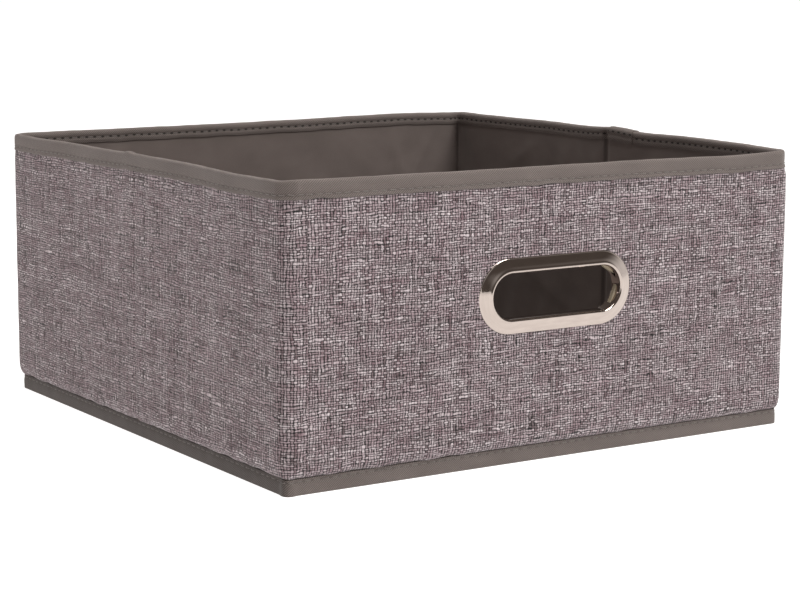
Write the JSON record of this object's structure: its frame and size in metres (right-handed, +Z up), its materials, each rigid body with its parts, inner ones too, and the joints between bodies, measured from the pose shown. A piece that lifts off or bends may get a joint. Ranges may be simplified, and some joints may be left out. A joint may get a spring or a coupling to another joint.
{
  "type": "fabric storage bin",
  "caption": "Open square half-height storage bin of stiffened heather cloth with bound rim, side creases for folding flat, an oval metal-rimmed handle opening and a loose base board.",
  "frame": {"origin": "middle of the underside", "axes": "+X right along the front wall, +Y towards the back wall, +Z up"},
  "size_m": [0.3116, 0.3134, 0.1475],
  "materials": {
    "heather_cloth": "matte",
    "lining_cloth": "matte",
    "binding_tape": "matte",
    "panel_board": "matte",
    "polished_metal": "polished"
  },
  "bodies": {
    "front_wall": {"front_outer_cloth": "heather_cloth", "front_board": "panel_board", "front_lining": "lining_cloth", "front_rim_tape": "binding_tape", "front_bottom_binding": "binding_tape", "handle_grommet": "polished_metal", "handle_clamp_ring": "polished_metal", "bottom_cloth": "lining_cloth"},
    "left_front": {"left_front_outer_cloth": "heather_cloth", "left_front_board": "panel_board", "left_front_lining": "lining_cloth", "left_front_rim_tape": "binding_tape", "left_front_bottom_binding": "binding_tape"},
    "left_rear": {"left_rear_outer_cloth": "heather_cloth", "left_rear_board": "panel_board", "left_rear_lining": "lining_cloth", "left_rear_rim_tape": "binding_tape", "left_rear_bottom_binding": "binding_tape"},
    "back_wall": {"back_outer_cloth": "heather_cloth", "back_board": "panel_board", "back_lining": "lining_cloth", "back_rim_tape": "binding_tape", "back_bottom_binding": "binding_tape"},
    "right_front": {"right_front_outer_cloth": "heather_cloth", "right_front_board": "panel_board", "right_front_lining": "lining_cloth", "right_front_rim_tape": "binding_tape", "right_front_bottom_binding": "binding_tape"},
    "right_rear": {"right_rear_outer_cloth": "heather_cloth", "right_rear_board": "panel_board", "right_rear_lining": "lining_cloth", "right_rear_rim_tape": "binding_tape", "right_rear_bottom_binding": "binding_tape"},
    "base_insert": {"base_board": "panel_board", "base_board_cover": "lining_cloth"}
  },
  "joints": [
    {"name": "wall_fold", "type": "hinge", "parent": "front_wall", "child": "left_front", "pos_m": [-0.15025, -0.15025, 0.07375], "axis": [0, 0, -1], "range_deg": [0, 87.5], "deforming": ["front_bottom_binding", "back_bottom_binding", "left_front_bottom_binding", "left_rear_bottom_binding", "right_rear_bottom_binding", "right_front_bottom_binding", "bottom_cloth"]},
    {"name": "left_crease", "type": "hinge", "parent": "left_front", "child": "left_rear", "pos_m": [-0.15605, 0, 0.07375], "axis": [0, 0, 1], "range_deg": [0, 175]},
    {"name": "back_left_corner", "type": "hinge", "parent": "left_rear", "child": "back_wall", "pos_m": [-0.15025, 0.15025, 0.07375], "axis": [0, 0, -1], "range_deg": [0, 87.5]},
    {"name": "front_right_corner", "type": "hinge", "parent": "front_wall", "child": "right_front", "pos_m": [0.15025, -0.15025, 0.07375], "axis": [0, 0, 1], "range_deg": [0, 87.5]},
    {"name": "right_crease", "type": "hinge", "parent": "right_front", "child": "right_rear", "pos_m": [0.15605, 0, 0.07375], "axis": [0, 0, -1], "range_deg": [0, 175]},
    {"name": "insert_lift", "type": "slide", "parent": "front_wall", "child": "base_insert", "axis": [0, 0, 1], "range_m": [0, 0.17]}
  ],
  "couplings": [
    {"joint": "left_crease", "follows": "wall_fold", "ratio": 2},
    {"joint": "back_left_corner", "follows": "wall_fold", "ratio": 1},
    {"joint": "front_right_corner", "follows": "wall_fold", "ratio": 1},
    {"joint": "right_crease", "follows": "wall_fold", "ratio": 2}
  ]
}
